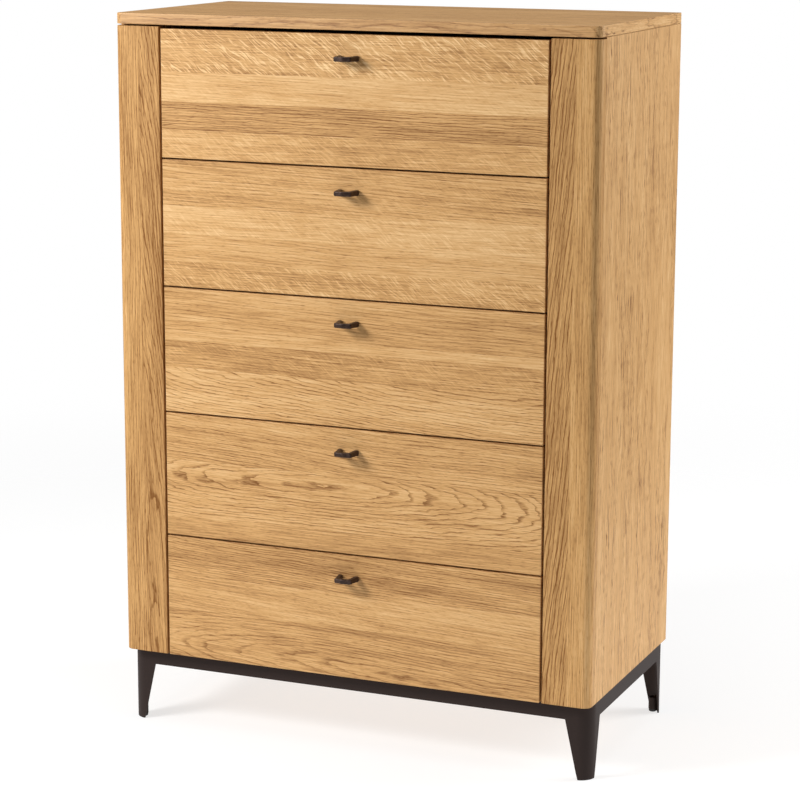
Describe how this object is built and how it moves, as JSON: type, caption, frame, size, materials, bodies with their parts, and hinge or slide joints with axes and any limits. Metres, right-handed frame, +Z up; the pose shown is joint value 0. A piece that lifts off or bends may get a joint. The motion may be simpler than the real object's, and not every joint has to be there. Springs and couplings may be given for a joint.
{
  "type": "tall chest of drawers",
  "caption": "Tall oak chest of drawers with flush inset fronts, small dark bar handles and rounded front posts, on a dark steel base frame with short tapered legs.",
  "frame": {"origin": "on the floor, under the middle of the overall box, handles included", "axes": "+Z up, -Y the way the drawers open, +X to the right seen from the front"},
  "size_m": [0.9, 0.481, 1.3],
  "materials": {
    "solid_oak": "oiled solid oak, edge-glued lamellas, satin",
    "oak_veneer": "oak veneer with straight upright grain, satin lacquer",
    "drawer_ply": "pale birch plywood, clear lacquer",
    "back_board": "thin veneered board, matt",
    "zinc_steel": "zinc-plated sheet steel",
    "coated_steel": "brown-black powder coat, satin, fine texture",
    "handle_metal": "dark bronzed die casting, satin"
  },
  "bodies": {
    "chest": {"top_board": "solid_oak", "case_floor": "oak_veneer", "back_panel": "back_board", "left_front_post": "solid_oak", "left_side_panel": "oak_veneer", "left_inner_side": "oak_veneer", "right_front_post": "solid_oak", "right_side_panel": "oak_veneer", "right_inner_side": "oak_veneer", "base_frame": "coated_steel", "left_rail_1": "zinc_steel", "right_rail_1": "zinc_steel", "left_rail_2": "zinc_steel", "right_rail_2": "zinc_steel", "left_rail_3": "zinc_steel", "right_rail_3": "zinc_steel", "left_rail_4": "zinc_steel", "right_rail_4": "zinc_steel", "left_rail_5": "zinc_steel", "right_rail_5": "zinc_steel"},
    "drawer_1": {"drawer_1_front": "solid_oak", "drawer_1_handle": "handle_metal", "drawer_1_back": "drawer_ply", "drawer_1_floor": "drawer_ply", "drawer_1_left_side": "drawer_ply", "drawer_1_left_slide": "zinc_steel", "drawer_1_right_side": "drawer_ply", "drawer_1_right_slide": "zinc_steel"},
    "drawer_2": {"drawer_2_front": "solid_oak", "drawer_2_handle": "handle_metal", "drawer_2_back": "drawer_ply", "drawer_2_floor": "drawer_ply", "drawer_2_left_side": "drawer_ply", "drawer_2_left_slide": "zinc_steel", "drawer_2_right_side": "drawer_ply", "drawer_2_right_slide": "zinc_steel"},
    "drawer_3": {"drawer_3_front": "solid_oak", "drawer_3_handle": "handle_metal", "drawer_3_back": "drawer_ply", "drawer_3_floor": "drawer_ply", "drawer_3_left_side": "drawer_ply", "drawer_3_left_slide": "zinc_steel", "drawer_3_right_side": "drawer_ply", "drawer_3_right_slide": "zinc_steel"},
    "drawer_4": {"drawer_4_front": "solid_oak", "drawer_4_handle": "handle_metal", "drawer_4_back": "drawer_ply", "drawer_4_floor": "drawer_ply", "drawer_4_left_side": "drawer_ply", "drawer_4_left_slide": "zinc_steel", "drawer_4_right_side": "drawer_ply", "drawer_4_right_slide": "zinc_steel"},
    "drawer_5": {"drawer_5_front": "solid_oak", "drawer_5_handle": "handle_metal", "drawer_5_back": "drawer_ply", "drawer_5_floor": "drawer_ply", "drawer_5_left_side": "drawer_ply", "drawer_5_left_slide": "zinc_steel", "drawer_5_right_side": "drawer_ply", "drawer_5_right_slide": "zinc_steel"}
  },
  "joints": [
    {"name": "drawer_1_slide", "type": "slide", "parent": "chest", "child": "drawer_1", "axis": [0, -1, 0], "range_m": [0, 0.3]},
    {"name": "drawer_2_slide", "type": "slide", "parent": "chest", "child": "drawer_2", "axis": [0, -1, 0], "range_m": [0, 0.3]},
    {"name": "drawer_3_slide", "type": "slide", "parent": "chest", "child": "drawer_3", "axis": [0, -1, 0], "range_m": [0, 0.3]},
    {"name": "drawer_4_slide", "type": "slide", "parent": "chest", "child": "drawer_4", "axis": [0, -1, 0], "range_m": [0, 0.3]},
    {"name": "drawer_5_slide", "type": "slide", "parent": "chest", "child": "drawer_5", "axis": [0, -1, 0], "range_m": [0, 0.3]}
  ]
}
